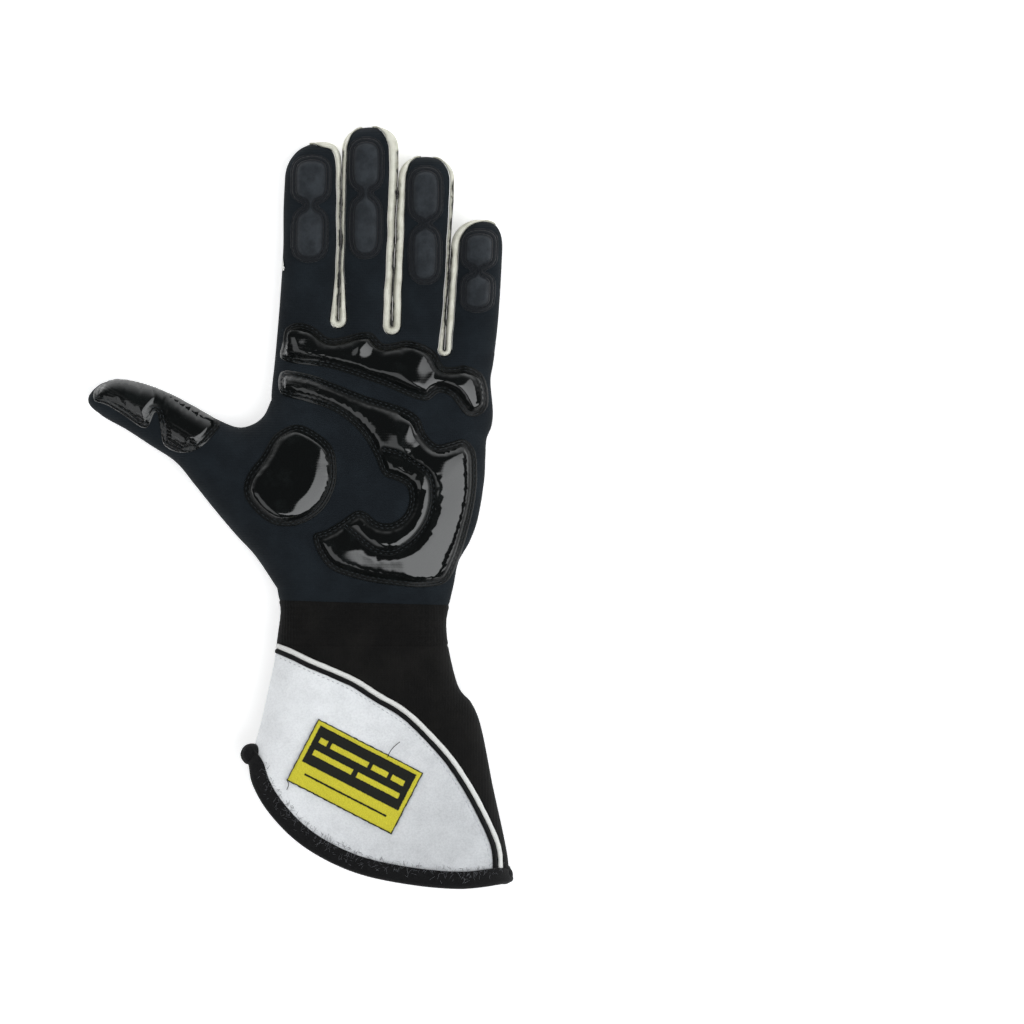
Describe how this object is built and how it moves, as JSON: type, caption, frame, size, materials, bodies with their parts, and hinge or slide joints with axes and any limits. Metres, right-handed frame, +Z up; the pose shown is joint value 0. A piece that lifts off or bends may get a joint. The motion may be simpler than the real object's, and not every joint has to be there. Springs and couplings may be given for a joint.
{
  "type": "racing glove",
  "caption": "Left-hand racing glove lying palm up: hollow knit hand with separate fingers and thumb, padded palm, gathered wrist and a flared cuff with a bound mouth.",
  "frame": {"origin": "centre of the box round the glove in plan, on the surface that it lies on", "axes": "+Z up from the surface, palm side up; +Y from the cuff to the fingertips; -X on the thumb side"},
  "size_m": [0.1965, 0.3498, 0.0384],
  "materials": {
    "palm_knit": "matt, fine-ribbed, flame-resistant knit",
    "black_knit": "matt knit",
    "cream_knit": "matt knit",
    "grey_knit": "matt knit",
    "gloss_padding": "glossy coated padding",
    "suede": "matt suede",
    "white_piping": "matt cord",
    "black_tape": "matt tape",
    "badge": "matt embroidery"
  },
  "bodies": {
    "root": {"palm_panel": "palm_knit", "back_panel": "palm_knit", "fourchette_index_middle": "cream_knit", "fourchette_middle_ring": "cream_knit", "fourchette_ring_little": "cream_knit", "wrist_band": "black_knit", "cuff_back_panel": "black_knit", "cuff_black_panel": "black_knit", "cuff_grey_panel": "grey_knit", "piping_white": "white_piping", "piping_black": "black_tape", "hem_binding": "black_tape", "cuff_badge": "badge", "knuckle_pad": "gloss_padding", "palm_pad": "gloss_padding", "thumb_base_pad": "gloss_padding", "thumb_pad": "gloss_padding", "index_patch": "suede", "middle_patch": "suede", "ring_patch": "suede", "little_patch": "suede"}
  },
  "joints": []
}
